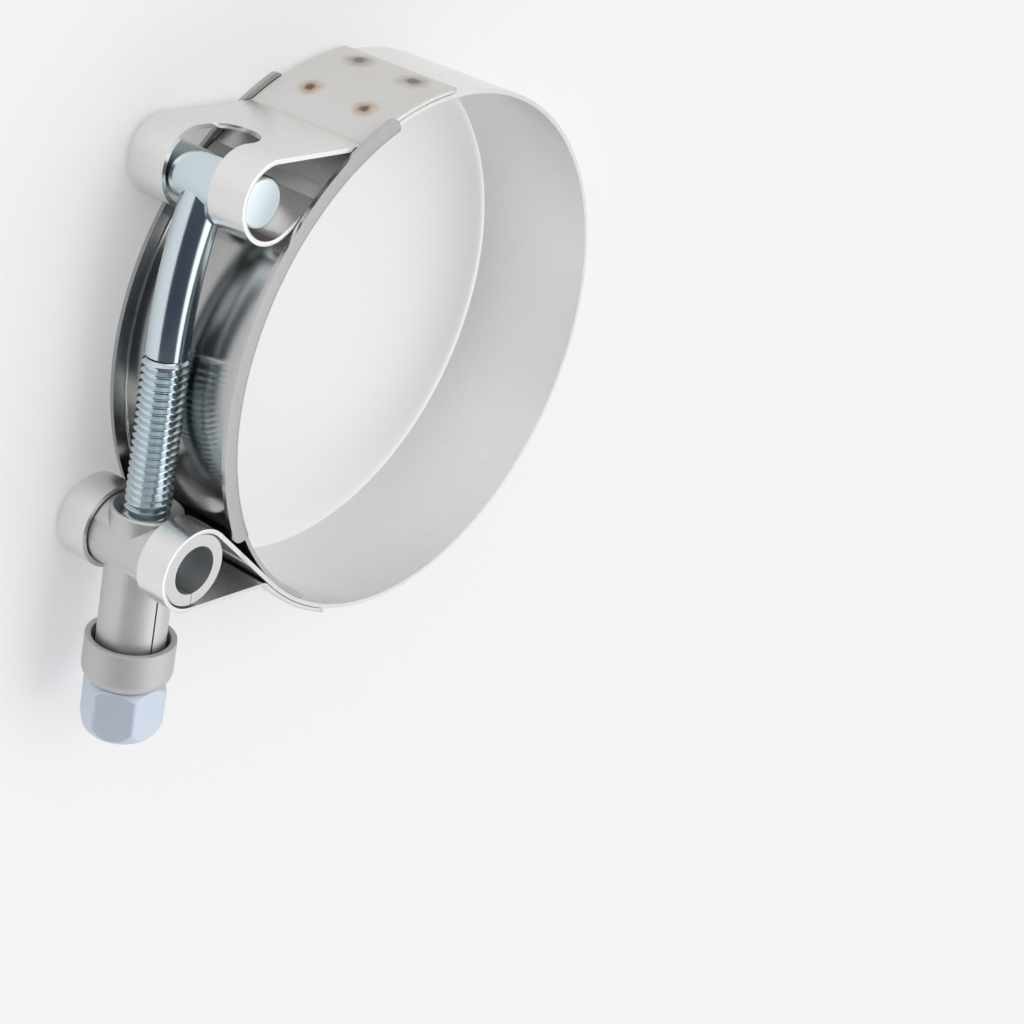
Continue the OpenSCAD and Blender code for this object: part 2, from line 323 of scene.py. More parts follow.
ORIGIN = Vector((0, 0, 0))
strap_end_at = toward(tube_end["crease"] + tube_end["strap_turn"], STRAP_R)
band = ribbon_start(strap_end_at, STRIP_W)
bend(ORIGIN, -tube_end["strap_turn"], BEND_STEP)
bend(tube_end["crease_at"], tube_end["crease_turn"], LOOP_STEP)
run(tube_end["strap_dir"] + math.pi, tube_end["leg_l"])
bend(tube_end["at"], -tube_end["loop_turn"], LOOP_STEP)
run(tube_end["leave"] + math.pi / 2, tube_end["inner_l"])
bend(ORIGIN, math.pi - head_end["leave"] - tube_end["leave"], BEND_STEP)
run(-head_end["leave"] - math.pi / 2, head_end["inner_l"])
bend(mirrored(head_end["at"]), -head_end["loop_turn"], LOOP_STEP)
run(math.pi - head_end["strap_dir"], head_end["leg_l"])
bend(mirrored(head_end["crease_at"]), head_end["crease_turn"], LOOP_STEP)
bend(ORIGIN, -head_end["strap_turn"], BEND_STEP)
select_only(band)
low, high = [Vector(band.bound_box[i]) * 1000 for i in (0, 6)]
print("ribbon from", [round(c, 1) for c in low], "to", [round(c, 1) for c in high])

# %% [markdown]
# ## Thickness and slots
# Each loop is slotted, so that the bolt and the trunnion's neck can swing through it. A cutter
# as wide as the slot takes away the middle of the loop and runs a little way up both legs, where
# it ends in a half circle.

# %% Thicken and slot the band
sheet = band.modifiers.new("sheet", "SOLIDIFY")
sheet.thickness = STRIP_T * MM
sheet.offset = 0
sheet.use_even_offset = True
apply_modifiers(band)
close_up(band)


def slot_leg(piece, at, direction, length, width):
    """A slot from a loop along one of its legs, with a round end."""
    select_only(None)
    middle = at + toward(direction, length / 2)
    bpy.ops.mesh.primitive_cube_add(size=1, location=middle * MM, rotation=(0, 0, direction))
    box = bpy.context.object
    box.scale = (length * MM, 4 * STRIP_T * MM, width * MM)
    cut_with(piece, new_piece("slot_box"))
    select_only(None)
    bpy.ops.mesh.primitive_cylinder_add(
        vertices=64,
        radius=width / 2 * MM,
        depth=4 * STRIP_T * MM,
        location=(at + toward(direction, length)) * MM,
        rotation=(math.pi / 2, 0, direction),
    )
    cut_with(piece, new_piece("slot_round"))


def slot_loop(piece, at, loop_r, width):
    select_only(None)
    bpy.ops.mesh.primitive_cylinder_add(
        vertices=96, radius=(loop_r + STRIP_T) * MM, depth=width * MM, location=at * MM
    )
    cut_with(piece, new_piece("slot_loop"))


HEAD_SLOT_W = 7.6
TUBE_SLOT_W = 9.8
INNER_SLOT_RUN = 0.6
HEAD_SLOT_RUN = 1.2
TUBE_SLOT_RUN = 4.1
slot_loop(band, TUBE_LOOP_AT, TUBE_LOOP_R, TUBE_SLOT_W)
slot_leg(band, tube_end["outer_at"], tube_end["strap_dir"], TUBE_SLOT_RUN, TUBE_SLOT_W)
slot_leg(band, tube_end["inner_at"], tube_end["leave"] + math.pi / 2, INNER_SLOT_RUN, TUBE_SLOT_W)
slot_loop(band, mirrored(HEAD_LOOP_AT), HEAD_LOOP_R, HEAD_SLOT_W)
slot_leg(
    band, mirrored(head_end["outer_at"]), math.pi - head_end["strap_dir"], HEAD_SLOT_RUN, HEAD_SLOT_W
)
slot_leg(
    band,
    mirrored(head_end["inner_at"]),
    math.pi / 2 - head_end["leave"],
    INNER_SLOT_RUN,
    HEAD_SLOT_W,
)
print("slotted band has", len(band.data.polygons), "faces")

# %% [markdown]
# ## The bridge
# The bridge is a shallow channel bent to the ring's curve. Its section is bent up from an edge
# just as the band was, and then the whole section is spun about the clamp's axis. The free end,
# the tongue, has no flanges, so their faces are deleted there.

# %% Bridge
BRIDGE_R = 36.65
BRIDGE_T = 0.6
FLANGE_Z = 9.9
FLANGE_R = 39.1
FLANGE_BEND_R = 0.6
WELD_END = -math.radians(90 + 62.58)
FLANGE_END = math.radians(-90 + 33.73)
TONGUE_END = math.radians(-90 + 65.57)
BRIDGE_STEP = math.radians(1.5)


def section_bend(start_angle):
    """The section's points from the top of one flange to that of the other, at an angle."""
    base = BRIDGE_R
    points = [(FLANGE_R, FLANGE_Z), (base + FLANGE_BEND_R, FLANGE_Z)]
    for i in range(1, 7):
        a = math.pi / 2 * (1 + i / 6)
        points.append(
            (
                base + FLANGE_BEND_R + FLANGE_BEND_R * math.cos(a),
                FLANGE_Z - FLANGE_BEND_R + FLANGE_BEND_R * math.sin(a),
            )
        )
    points += [(r, -z) for r, z in reversed(points)]
    return [toward(start_angle, r) + Vector((0, 0, z)) for r, z in points]


bridge = drawn_line("bridge_channel", section_bend(WELD_END))
bend(ORIGIN, TONGUE_END - WELD_END, BRIDGE_STEP)


def beyond_flange(middle):
    angle = math.atan2(middle.y, middle.x)
    return angle > FLANGE_END and abs(middle.z) > (FLANGE_Z - FLANGE_BEND_R) * MM


pick("FACE", lambda middle, face: beyond_flange(middle))
bpy.ops.mesh.delete(type="FACE")
select_only(bridge)
channel = bridge.modifiers.new("sheet", "SOLIDIFY")
channel.thickness = BRIDGE_T * MM
channel.offset = 0
channel.use_even_offset = True
apply_modifiers(bridge)
close_up(bridge)

FLANGE_ROUND = 1.5


def round_flange_corners(angle, way):
    """Cuts the outer corners of both flanges to an arc, at the end that lies at an angle."""
    inner = FLANGE_R - FLANGE_ROUND
    outline = [(inner, -1.0), (FLANGE_R + 1, -1.0), (FLANGE_R + 1, FLANGE_ROUND)]
    for i in range(9):
        a = math.pi / 2 * i / 8
        outline.append((inner + FLANGE_ROUND * math.cos(a), FLANGE_ROUND * (1 - math.sin(a))))
    along = toward(angle + math.pi / 2)
    points = [toward(angle, r) + along * (side * way) + Vector((0, 0, -12)) for r, side in outline]
    cutter = drawn_line("corner_cutter", points + points[:1])
    bpy.ops.mesh.remove_doubles(threshold=1e-7)
    bpy.ops.mesh.select_all(action="SELECT")
    bpy.ops.mesh.edge_face_add()
    bpy.ops.mesh.extrude_region_move(TRANSFORM_OT_translate={"value": (0, 0, 24 * MM)})
    close_up(cutter)
    cut_with(bridge, cutter)


round_flange_corners(WELD_END, 1)
round_flange_corners(FLANGE_END, -1)
print("bridge has", len(bridge.data.polygons), "faces")

# %% [markdown]
# ## Spot welds
# The folded ends and the bridge are held by rows of two spot welds. Their places are worked out
# here from the ends of the sheets, and the finishes mark them later with a stain and a dent. The
# sheets are now complete, so their edges are rounded.

# %% Weld places and sheet edges
WELD_Z = 4.6
WELD_EDGE = 2.8
WELD_ROWS = 9.4
STRAP_OUT_R = STRAP_R + STRIP_T / 2
BRIDGE_IN_R = BRIDGE_R - BRIDGE_T / 2


def weld_row(angle, radius):
    """The two places of a row of welds, across the strip at an angle about the axis."""
    return [toward(angle, radius) + Vector((0, 0, side * WELD_Z)) for side in (-1, 1)]


tube_strap_end = tube_end["crease"] + tube_end["strap_turn"]
head_strap_end = math.pi - head_end["crease"] - head_end["strap_turn"]
tube_row = weld_row(tube_strap_end - WELD_EDGE / STRAP_R, STRAP_OUT_R)
head_outer_row = weld_row(head_strap_end + WELD_EDGE / STRAP_R, STRAP_OUT_R)
head_inner_row = weld_row(head_strap_end + (WELD_EDGE + WELD_ROWS) / STRAP_R, STRAP_OUT_R)
bridge_row = weld_row(WELD_END + WELD_EDGE / BRIDGE_IN_R, BRIDGE_IN_R)
soften(band, 0.07)
soften(bridge, 0.12)
print("band has", len(band.data.polygons), "faces and the bridge", len(bridge.data.polygons))

# %% [markdown]
# ## The bolt
# The bolt is modelled along its own thread first. The thread is one tooth of the profile, one
# pitch tall, swept by the Screw modifier: each turn begins where the last one ended. The bent
# shank is a circle spun about the middle of its bend, and the head is a short rod across it.

# %% Bolt sizes and its frame
BOLT_BOW = math.radians(4.2)
PITCH = 1.0
THREAD_R = 3.0
ROOT_R = 2.45
SHANK_R = 2.75
SHANK_RUN = 21.5
HEAD_R = 3.3
HEAD_L = 17.6
HEAD_X = -2 * PIVOT_X * math.cos(BOLT_BOW)
HEAD_Y = 2 * PIVOT_X * math.sin(BOLT_BOW)
THREAD_FROM = HEAD_X + SHANK_RUN
THREAD_TO = 27.55
SHANK_TURN = 2 * math.atan(HEAD_Y / SHANK_RUN)
SHANK_BEND_R = SHANK_RUN / math.sin(SHANK_TURN)
TO_PIVOT = Matrix.Translation(Vector((PIVOT_X, PIVOT_Y, 0)) * MM) @ Matrix.Rotation(BOLT_BOW, 4, "Z")
ALONG_X = Matrix.Rotation(math.pi / 2, 4, "Y")


def set_at_pivot(piece, stands_on_z_from=None):
    """Moves a piece that was modelled about the pivot, or standing on Z, to its place."""
    placing = TO_PIVOT
    if stands_on_z_from is not None:
        placing = placing @ Matrix.Translation((stands_on_z_from * MM, 0, 0)) @ ALONG_X
    select_only(piece)
    piece.matrix_world = placing
    bpy.ops.object.transform_apply(location=True, rotation=True, scale=True)


print("shank bends", round(math.degrees(SHANK_TURN), 1), "degrees at radius", round(SHANK_BEND_R, 1))

# %% Thread
TURNS = int((THREAD_TO - THREAD_FROM) / PITCH)
TOOTH = [(ROOT_R, 0.0), (ROOT_R, 0.2), (THREAD_R, 0.53), (THREAD_R, 0.67), (ROOT_R, 1.0)]
thread = drawn_line("thread", [Vector((r, 0, h * PITCH)) for r, h in TOOTH])
select_only(thread)
screw = thread.modifiers.new("screw", "SCREW")
screw.axis = "Z"
screw.angle = 2 * math.pi
screw.screw_offset = PITCH * MM
screw.iterations = TURNS
screw.steps = 40
screw.render_steps = 40
screw.use_merge_vertices = True
screw.merge_threshold = 1e-7
apply_modifiers(thread)

# the first turn grows out of the shank and the last one runs out into the chamfered tip
THREAD_L = THREAD_TO - THREAD_FROM
GROW_L = 1.6 * PITCH
FADE_L = 1.2 * PITCH
UNDER_SHANK = 0.02
TIP_DROP = 0.15
for v in thread.data.vertices:
    r = math.hypot(v.co.x, v.co.y)
    along = v.co.z / MM
    grow = min(1.0, max(0.0, along / GROW_L))
    fade = min(1.0, max(0.0, (THREAD_L - along) / FADE_L))
    wanted = r / MM
    wanted = SHANK_R - UNDER_SHANK + (wanted - SHANK_R + UNDER_SHANK) * grow
    wanted = ROOT_R - TIP_DROP + (wanted - ROOT_R + TIP_DROP) * fade
    v.co.x *= wanted * MM / r
    v.co.y *= wanted * MM / r
    v.co.z = min(v.co.z, (THREAD_L - TIP_DROP) * MM)
edit(thread)
bpy.ops.mesh.select_all(action="SELECT")
bpy.ops.mesh.fill_holes(sides=0)
close_up(thread)
set_at_pivot(thread, THREAD_FROM)
smooth(thread, 25)
print("thread has", TURNS, "turns and", len(thread.data.polygons), "faces")

# %% Shank, head and tip
SHANK_SINK = 0.4
SHANK_STEP = math.radians(1.0)
select_only(None)
bpy.ops.mesh.primitive_circle_add(
    vertices=64, radius=SHANK_R * MM, fill_type="NGON", location=(0, 0, 0), rotation=(0, math.pi / 2, 0)
)
shank = new_piece("shank")
select_only(shank)
shank.location = ((THREAD_FROM + SHANK_SINK) * MM, 0, 0)
bpy.ops.object.transform_apply(location=True)
edit(shank)
bpy.ops.mesh.select_all(action="SELECT")
bpy.ops.mesh.extrude_region_move(TRANSFORM_OT_translate={"value": (-SHANK_SINK * MM, 0, 0)})
bend(Vector((THREAD_FROM, SHANK_BEND_R, 0)), -SHANK_TURN, SHANK_STEP)
close_up(shank)
set_at_pivot(shank)
smooth(shank)

HEAD_ROUND = 0.55
head_edge = HEAD_L / 2 - HEAD_ROUND
head = turned(
    "cross_head",
    [(0.0, -HEAD_L / 2)]
    + rounded((HEAD_R - HEAD_ROUND, -head_edge), HEAD_ROUND, -90, 0)
    + rounded((HEAD_R - HEAD_ROUND, head_edge), HEAD_ROUND, 0, 90)
    + [(0.0, HEAD_L / 2)],
    128,
)
select_only(head)
head.location = (-PIVOT_X * MM, PIVOT_Y * MM, 0)
bpy.ops.object.transform_apply(location=True)
smooth(head)

TIP_L = 3.0
TIP_R = ROOT_R - 0.05
TIP_BEVEL = 0.25
select_only(None)
bpy.ops.mesh.primitive_cylinder_add(
    vertices=64, radius=TIP_R * MM, depth=TIP_L * MM, location=(0, 0, -TIP_L / 2 * MM)
)
tip = new_piece("bolt_tip")
edit(tip)
pick("EDGE", lambda middle, edge: all(abs(v.co.z) < 1e-6 for v in edge.verts))
bpy.ops.mesh.bevel(offset=TIP_BEVEL * MM, segments=2)
set_at_pivot(tip, THREAD_TO)
smooth(tip)

select_only(thread)
for part in (shank, head, tip):
    part.select_set(True)
bpy.context.view_layer.objects.active = thread
bpy.ops.object.join()
bolt = bpy.context.object
bolt.name = "t_bolt_threaded"
print("bolt has", len(bolt.data.polygons), "faces")

# %% [markdown]
# ## The trunnion
# The trunnion is folded from sheet: a cross tube with a neck. Two cylinders are joined by a
# Boolean, hollowed by two more, and the joint is softened by a bevel.

# %% Trunnion
TUBE_R = 4.95
TUBE_BORE_R = 3.35
TUBE_L = 18.4
NECK_R = 4.6
NECK_BORE_R = 3.5
NECK_L = 19.2
MOUTH_R = 4.3
LIP_R = 4.75
LIP_L = 5.0
LIP_ROUND = 0.45
SEAM_W = 0.25
SEAM_TURN = math.radians(80)


def rod(name, radius, length, from_x=None, end_radius=None):
    """A round bar on Z about the pivot, or along the thread from a place on it, where it may taper."""
    select_only(None)
    bpy.ops.mesh.primitive_cone_add(
        vertices=128,
        radius1=radius * MM,
        radius2=(end_radius or radius) * MM,
        depth=length * MM,
        location=(0, 0, 0) if from_x is None else ((from_x + length / 2) * MM, 0, 0),
        rotation=(0, 0, 0) if from_x is None else (0, math.pi / 2, 0),
    )
    return new_piece(name)


def slab(name, size, middle, turn_about_x=0.0):
    """A thin box for cutting a seam, turned about the thread."""
    select_only(None)
    bpy.ops.mesh.primitive_cube_add(size=1)
    box = bpy.context.object
    box.matrix_world = (
        Matrix.Rotation(turn_about_x, 4, "X")
        @ Matrix.Translation(Vector(middle) * MM)
        @ Matrix.Diagonal((*(Vector(size) * MM), 1))
    )
    return new_piece(name)


trunnion = rod("trunnion_tube", TUBE_R, TUBE_L)
cut_with(trunnion, rod("neck", NECK_R, NECK_L, 0), "UNION")
lip = rod("mouth_lip", LIP_R, LIP_L, -LIP_L)
edit(lip)
pick("EDGE", lambda middle, edge: all(v.co.x < (-LIP_L + 0.01) * MM for v in edge.verts))
bpy.ops.mesh.bevel(offset=LIP_ROUND * MM, segments=6)
select_only(lip)
cut_with(trunnion, lip, "UNION")
cut_with(trunnion, rod("tube_bore", TUBE_BORE_R, TUBE_L + 2))
cut_with(trunnion, rod("neck_bore", NECK_BORE_R, NECK_L + 2, -1))
FUNNEL_L = 2.0
FUNNEL_TUCK = 0.3
FUNNEL_SLOPE = (MOUTH_R - NECK_BORE_R + FUNNEL_TUCK) / FUNNEL_L
funnel = rod("mouth", MOUTH_R + FUNNEL_SLOPE, FUNNEL_L + 1, -LIP_L - 1, NECK_BORE_R - FUNNEL_TUCK)
cut_with(trunnion, funnel)
for side in (-1, 1):
    seam_middle = (TUBE_R, 0, side * (NECK_R + TUBE_L / 2) / 2)
    cut_with(trunnion, slab("tube_seam", (TUBE_R, SEAM_W, TUBE_L / 2 - NECK_R), seam_middle))
neck_seam_middle = (TUBE_R + NECK_L / 2, -NECK_R, 0)
cut_with(trunnion, slab("neck_seam", (NECK_L, NECK_R, SEAM_W), neck_seam_middle, -SEAM_TURN))
close_up(trunnion)
soften(trunnion, 0.25, 3)
set_at_pivot(trunnion)
print("trunnion has", len(trunnion.data.polygons), "faces")

# %% [markdown]
# ## Sleeve, nut and insert
# These are turned pieces: a half section, drawn point by point, is spun a full turn about the
# thread. The nut starts as a six-sided prism that is trimmed by a turned blank, which leaves the
# curved chamfers of a real nut.

# %% Sleeve
SLEEVE_R = 6.05
SLEEVE_IN_R = 5.2
SLEEVE_H = 6.3
SLEEVE_FLOOR = 1.0
SLEEVE_ROUND = 1.8
sleeve_section = (
    [(SLEEVE_IN_R, 0.0), (SLEEVE_R, 0.0)]
    + rounded((SLEEVE_R - SLEEVE_ROUND, SLEEVE_H - SLEEVE_ROUND), SLEEVE_ROUND, 0, 90, 8)
    + [(NECK_BORE_R, SLEEVE_H), (NECK_BORE_R, SLEEVE_H - SLEEVE_FLOOR)]
    + [(SLEEVE_IN_R, SLEEVE_H - SLEEVE_FLOOR), (SLEEVE_IN_R, 0.0)]
)
sleeve = turned("sleeve_cup", sleeve_section)
soften(sleeve, 0.15, 3)
set_at_pivot(sleeve, NECK_L + SLEEVE_FLOOR - SLEEVE_H)
print("sleeve has", len(sleeve.data.polygons), "faces")

# %% Lock nut and insert
NUT_AF = 10.0
CORNER_R = NUT_AF / 2 / math.cos(math.pi / 6)
HEX_H = 5.4
COLLAR_H = 2.6
NUT_H = HEX_H + COLLAR_H
COLLAR_MOUTH_R = 3.7
COLLAR_MOUTH_L = 0.5
NUT_BORE_R = 3.2
NUT_GAP = 0.05
NUT_FROM = NECK_L + SLEEVE_FLOOR + NUT_GAP
BLANK_R = CORNER_R + 0.2
FACE_R = NUT_AF / 2 - 0.2
NUT_EDGE = 0.5

select_only(None)
bpy.ops.mesh.primitive_cylinder_add(
    vertices=6, radius=CORNER_R * MM, depth=(NUT_H + 1) * MM, location=(0, 0, NUT_H / 2 * MM)
)
nut = new_piece("nut_hexagon")
edit(nut)
pick("EDGE", lambda middle, edge: abs(edge.verts[0].co.z - edge.verts[1].co.z) > 1e-4)
bpy.ops.mesh.bevel(offset=NUT_EDGE * MM, segments=5)
select_only(nut)
BARREL_FROM = 3.0
BARREL_END_R = 4.0
barrel = []
for i in range(17):
    a = math.pi / 2 * i / 16
    barrel.append(
        (
            BARREL_END_R + (BLANK_R - BARREL_END_R) * math.cos(a),
            BARREL_FROM + (NUT_H - BARREL_FROM) * math.sin(a),
        )
    )
blank = turned(
    "nut_blank",
    [(0.0, 0.0), (FACE_R, 0.0), (BLANK_R, BLANK_R - FACE_R)] + barrel + [(0.0, NUT_H)],
)
cut_with(nut, blank, "INTERSECT")


def standing_rod(name, radius, low, high):
    select_only(None)
    bpy.ops.mesh.primitive_cylinder_add(
        vertices=96,
        radius=radius * MM,
        depth=(high - low) * MM,
        location=(0, 0, (low + high) / 2 * MM),
    )
    return new_piece(name)


cut_with(nut, standing_rod("nut_bore", NUT_BORE_R, -1, NUT_H + 1))
cut_with(nut, standing_rod("collar_mouth", COLLAR_MOUTH_R, NUT_H - COLLAR_MOUTH_L, NUT_H + 1))
close_up(nut)
soften(nut, 0.12, 2)
set_at_pivot(nut, NUT_FROM)

INSERT_R = 3.68
INSERT_LOW = NUT_H - 1.4
INSERT_TOP = NUT_H - 0.42
INSERT_CHAMFER = 0.2
insert = turned(
    "nut_insert_ring",
    [
        (NUT_BORE_R, INSERT_LOW),
        (INSERT_R, INSERT_LOW),
        (INSERT_R, INSERT_TOP),
        (NUT_BORE_R + INSERT_CHAMFER, INSERT_TOP),
        (NUT_BORE_R, INSERT_TOP - INSERT_CHAMFER),
        (NUT_BORE_R, INSERT_LOW),
    ],
)
smooth(insert)
set_at_pivot(insert, NUT_FROM)
print("nut has", len(nut.data.polygons), "faces")

# %% [markdown]
# ## Finishes
# Everything is metal except the insert. The sheet parts are rolled steel: the rolls leave fine
# lines along the strip, which smear a reflection across it. The Principled shader does this with
# its anisotropy, along a tangent that runs round the clamp's axis. Roughness and tint vary with
# a fine grain, so that no surface is perfectly even. The outer face of the folded ends is duller
# than the rest of the band, so the band's roughness also follows the distance from the axis.
# The bridge is the same steel as the band, but it is coloured darker: painted shade that stands
# in for the dark reflections on its outer face.

# %% Shared node group: fine grain
grain = bpy.data.node_groups.new("fine_grain", "ShaderNodeTree")
for socket_name, value in (("Size", 900.0), ("Stretch", 12.0)):
    socket = grain.interface.new_socket(socket_name, in_out="INPUT", socket_type="NodeSocketFloat")
    socket.default_value = value
grain.interface.new_socket("Place", in_out="INPUT", socket_type="NodeSocketVector")
grain.interface.new_socket("Grain", in_out="OUTPUT", socket_type="NodeSocketFloat")
g_in = grain.nodes.new("NodeGroupInput")
g_out = grain.nodes.new("NodeGroupOutput")
g_split = grain.nodes.new("ShaderNodeSeparateXYZ")
g_join = grain.nodes.new("ShaderNodeCombineXYZ")
g_times = grain.nodes.new("ShaderNodeMath")
g_times.operation = "MULTIPLY"
g_noise = grain.nodes.new("ShaderNodeTexNoise")
g_noise.inputs["Detail"].default_value = 3
grain.links.new(g_in.outputs["Place"], g_split.inputs[0])
grain.links.new(g_split.outputs["X"], g_join.inputs["X"])
grain.links.new(g_split.outputs["Y"], g_join.inputs["Y"])
grain.links.new(g_split.outputs["Z"], g_times.inputs[0])
grain.links.new(g_in.outputs["Stretch"], g_times.inputs[1])
grain.links.new(g_times.outputs[0], g_join.inputs["Z"])
grain.links.new(g_join.outputs[0], g_noise.inputs["Vector"])
grain.links.new(g_in.outputs["Size"], g_noise.inputs["Scale"])
grain.links.new(g_noise.outputs["Fac"], g_out.inputs["Grain"])
print("grain group has", len(grain.nodes), "nodes")

# %% [markdown]
# A spot weld heats the steel, which leaves a brown dot and a tan halo. The group measures how far
# a point of the surface is from the weld, makes that distance a little uneven with noise, and
# puts out a mask for the dot and one for the halo.

# %% Shared node group: weld stain
stain = bpy.data.node_groups.new("weld_stain", "ShaderNodeTree")
stain.interface.new_socket("Place", in_out="INPUT", socket_type="NodeSocketVector")
stain.interface.new_socket("Weld", in_out="INPUT", socket_type="NodeSocketVector")
reach_socket = stain.interface.new_socket("Reach", in_out="INPUT", socket_type="NodeSocketFloat")
reach_socket.default_value = 2.2 * MM
for socket_name in ("Dot", "Halo"):
    stain.interface.new_socket(socket_name, in_out="OUTPUT", socket_type="NodeSocketFloat")
s_in = stain.nodes.new("NodeGroupInput")
s_out = stain.nodes.new("NodeGroupOutput")
s_far = stain.nodes.new("ShaderNodeVectorMath")
s_far.operation = "DISTANCE"
stain.links.new(s_in.outputs["Place"], s_far.inputs[0])
stain.links.new(s_in.outputs["Weld"], s_far.inputs[1])
s_share = stain.nodes.new("ShaderNodeMath")
s_share.operation = "DIVIDE"
stain.links.new(s_far.outputs["Value"], s_share.inputs[0])
stain.links.new(s_in.outputs["Reach"], s_share.inputs[1])
s_noise = stain.nodes.new("ShaderNodeTexNoise")
s_noise.inputs["Scale"].default_value = 700
s_noise.inputs["Detail"].default_value = 4
stain.links.new(s_in.outputs["Place"], s_noise.inputs["Vector"])
s_uneven = stain.nodes.new("ShaderNodeMath")
s_uneven.operation = "MULTIPLY_ADD"
s_uneven.inputs[1].default_value = 0.55
stain.links.new(s_noise.outputs["Fac"], s_uneven.inputs[0])
stain.links.new(s_share.outputs[0], s_uneven.inputs[2])
for socket_name, near, far in (("Dot", 0.42, 0.72), ("Halo", 0.5, 1.3)):
    fade = stain.nodes.new("ShaderNodeMapRange")
    fade.interpolation_type = "SMOOTHSTEP"
    fade.inputs["From Min"].default_value = near
    fade.inputs["From Max"].default_value = far
    fade.inputs["To Min"].default_value = 1.0
    fade.inputs["To Max"].default_value = 0.0
    stain.links.new(s_uneven.outputs[0], fade.inputs["Value"])
    stain.links.new(fade.outputs["Result"], s_out.inputs[socket_name])
print("stain group has", len(stain.nodes), "nodes")

# %% [markdown]
# The band bends when the clamp closes, so its patterns can't read a place that moves. Each of its
# points stores where it lies at rest, and the material reads that instead.

# %% Metal finishes
REST_PLACE = "rest_place"
rest = band.data.attributes.new(REST_PLACE, "FLOAT_VECTOR", "POINT")
for point, stored in zip(band.data.vertices, rest.data):
    stored.vector = point.co


def where(material, attribute):
    """The place on a piece that its patterns follow."""
    nodes = material.node_tree.nodes
    if attribute is None:
        return nodes.new("ShaderNodeTexCoord").outputs["Object"]
    read = nodes.new("ShaderNodeAttribute")
    read.attribute_name = attribute
    return read.outputs["Vector"]


def metal(name, color, roughness, swing, size=900.0, stretch=12.0, brushed=0.0, attribute=None):
    """A metal whose roughness and tint swing with the fine grain, brushed round the axis if asked."""
    material = bpy.data.materials.new(name)
    material.use_nodes = True
    nodes, links = material.node_tree.nodes, material.node_tree.links
    shader = nodes["Principled BSDF"]
    shader.inputs["Metallic"].default_value = 1.0
    fine = nodes.new("ShaderNodeGroup")
    fine.node_tree = grain
    fine.inputs["Size"].default_value = size
    fine.inputs["Stretch"].default_value = stretch
    links.new(where(material, attribute), fine.inputs["Place"])
    spread = nodes.new("ShaderNodeMapRange")
    spread.inputs["To Min"].default_value = roughness - swing
    spread.inputs["To Max"].default_value = roughness + swing
    links.new(fine.outputs["Grain"], spread.inputs["Value"])
    links.new(spread.outputs["Result"], shader.inputs["Roughness"])
    tint = nodes.new("ShaderNodeMix")
    tint.name = "tint"
    tint.data_type = "RGBA"
    tint.inputs["A"].default_value = (*[c * 0.96 for c in color], 1)
    tint.inputs["B"].default_value = (*[min(1.0, c * 1.04) for c in color], 1)
    links.new(fine.outputs["Grain"], tint.inputs["Factor"])
    links.new(tint.outputs["Result"], shader.inputs["Base Color"])
    if brushed:
        tangent = nodes.new("ShaderNodeTangent")
        tangent.direction_type = "RADIAL"
        tangent.axis = "Z"
        links.new(tangent.outputs["Tangent"], shader.inputs["Tangent"])
        shader.inputs["Anisotropic"].default_value = brushed
        shader.inputs["Anisotropic Rotation"].default_value = 0.25
    return material


DENT_DEPTH = 0.08


def add_welds(material, rows, attribute=None):
    """Lays the heat marks of rows of welds over a metal's colour, and dents the surface there."""
    nodes, links = material.node_tree.nodes, material.node_tree.links
    shader = nodes["Principled BSDF"]
    base = shader.inputs["Base Color"]
    place = where(material, attribute)
    dents = None
    for places, dot_color, halo_color, reach in rows:
        for at in places:
            mark = nodes.new("ShaderNodeGroup")
            mark.node_tree = stain
            mark.inputs["Weld"].default_value = at * MM
            mark.inputs["Reach"].default_value = reach * MM
            links.new(place, mark.inputs["Place"])
            for mask, color in (("Halo", halo_color), ("Dot", dot_color)):
                before = base.links[0].from_socket
                lay = nodes.new("ShaderNodeMix")
                lay.data_type = "RGBA"
                lay.inputs["B"].default_value = (*color, 1)
                links.new(mark.outputs[mask], lay.inputs["Factor"])
                links.new(before, lay.inputs["A"])
                links.new(lay.outputs["Result"], base)
            if dents is None:
                dents = mark.outputs["Dot"]
                continue
            both = nodes.new("ShaderNodeMath")
            links.new(dents, both.inputs[0])
            links.new(mark.outputs["Dot"], both.inputs[1])
            dents = both.outputs[0]
    dent = nodes.new("ShaderNodeBump")
    dent.invert = True
    dent.inputs["Strength"].default_value = 0.5
    dent.inputs["Distance"].default_value = DENT_DEPTH * MM
    links.new(dents, dent.inputs["Height"])
    links.new(dent.outputs["Normal"], shader.inputs["Normal"])


FACE_MARGIN = 0.2


def dull_at(material, radius, roughness, attribute):
    """Makes a metal duller on the face that lies at one distance from the clamp's axis."""
    nodes, links = material.node_tree.nodes, material.node_tree.links
    flat = nodes.new("ShaderNodeVectorMath")
    flat.operation = "MULTIPLY"
    flat.inputs[1].default_value = (1, 1, 0)
    links.new(where(material, attribute), flat.inputs[0])
    reach = nodes.new("ShaderNodeVectorMath")
    reach.operation = "LENGTH"
    links.new(flat.outputs[0], reach.inputs[0])
    near = nodes.new("ShaderNodeMath")
    near.operation = "COMPARE"
    near.inputs[1].default_value = radius * MM
    near.inputs[2].default_value = FACE_MARGIN * MM
    links.new(reach.outputs["Value"], near.inputs[0])
    rough = nodes["Principled BSDF"].inputs["Roughness"]
    dull = nodes.new("ShaderNodeMix")
    dull.inputs["B"].default_value = roughness
    links.new(near.outputs[0], dull.inputs["Factor"])
    links.new(rough.links[0].from_socket, dull.inputs["A"])
    links.new(dull.outputs["Result"], rough)


